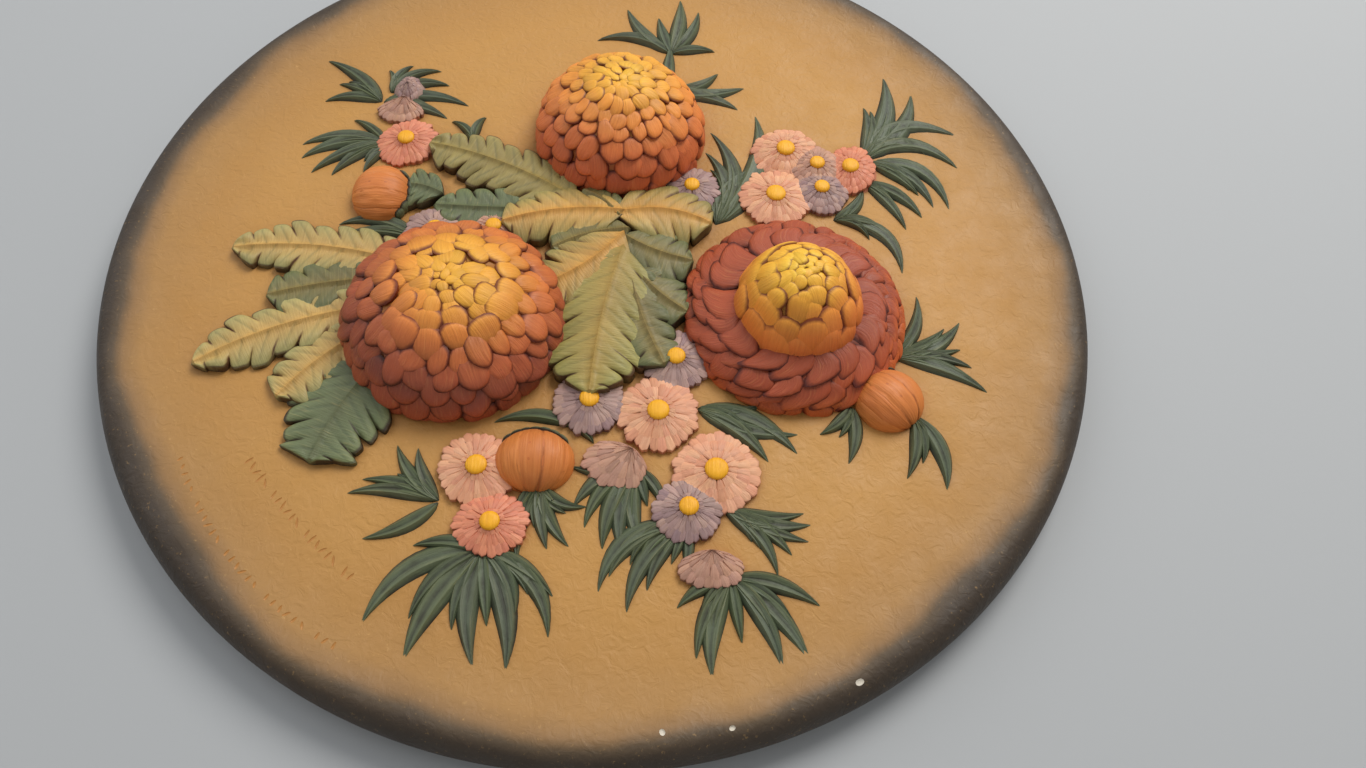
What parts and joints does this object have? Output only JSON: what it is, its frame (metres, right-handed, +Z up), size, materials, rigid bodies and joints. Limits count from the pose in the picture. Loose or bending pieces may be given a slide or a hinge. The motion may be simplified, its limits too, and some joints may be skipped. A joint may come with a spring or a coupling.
{
  "type": "decorative wall plaque",
  "caption": "Round cast-plaster wall plaque with a rolled dark lip and a painted bouquet in relief: chrysanthemums, daisies, buds and leaves. Hangs by a recess in its flat back.",
  "frame": {"origin": "centre of the flat back, on the wall", "axes": "+Y out of the back, into the wall; +Z up the wall, towards the top of the bouquet; the face looks along -Y"},
  "size_m": [0.355, 0.0466, 0.355],
  "materials": {
    "painted_plaster": "satin varnish over airbrushed and dry-brushed paint, on cast gypsum plaster"
  },
  "bodies": {
    "root": {"plaque": "painted_plaster"}
  },
  "joints": []
}
